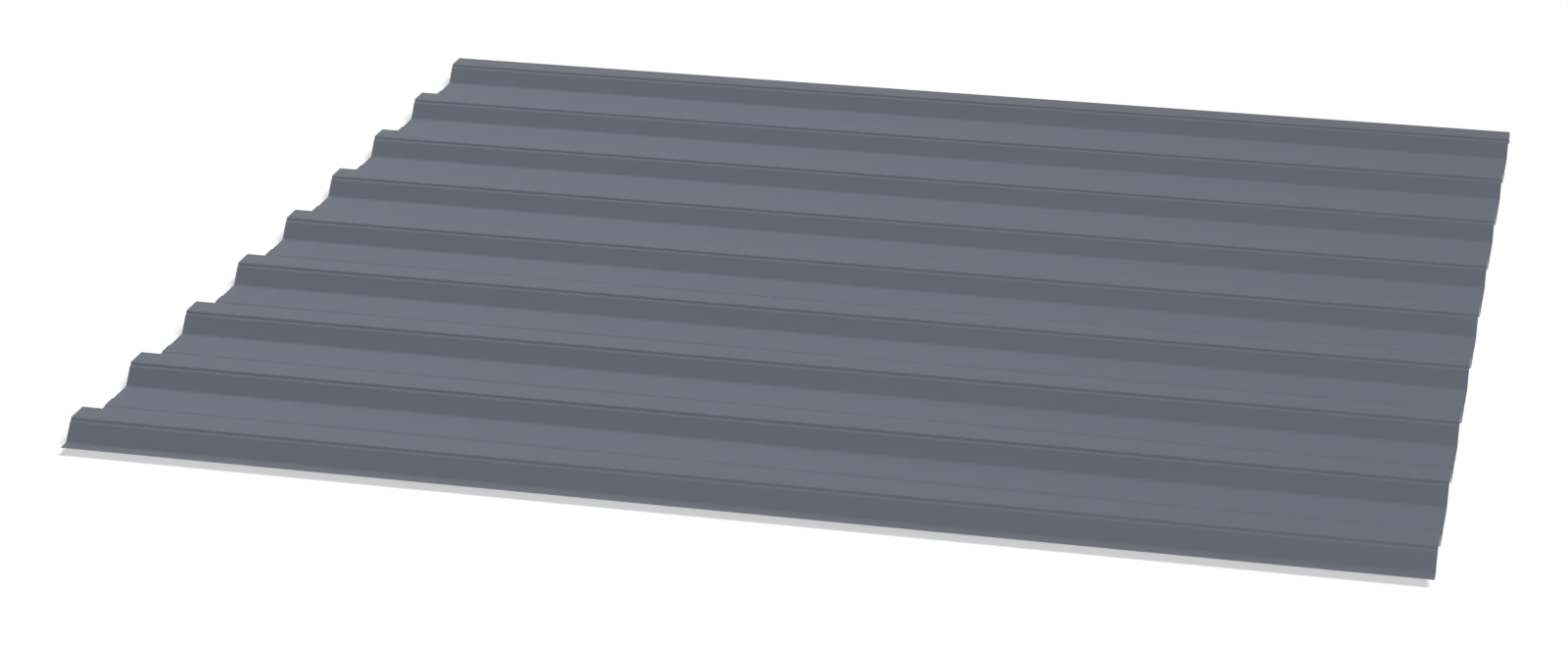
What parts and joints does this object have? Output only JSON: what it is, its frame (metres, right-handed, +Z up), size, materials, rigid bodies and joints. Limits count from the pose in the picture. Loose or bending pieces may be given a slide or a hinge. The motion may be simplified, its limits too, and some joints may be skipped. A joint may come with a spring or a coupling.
{
  "type": "corrugated metal sheet",
  "caption": "Roll-formed trapezoidal steel sheet with low shouldered ribs, a shallow stiffening swage in each pan and a flat lip along both long edges.",
  "frame": {"origin": "under the middle of the sheet, on the plane that its pans and lips rest on", "axes": "+X along the ribs, +Y across the ribs, +Z up, out of the weather side"},
  "size_m": [1.1, 1.0708, 0.0175],
  "materials": {
    "coated_steel": "matt polyester coil coating, slate grey"
  },
  "bodies": {
    "root": {"profiled_sheet": "coated_steel"}
  },
  "joints": []
}
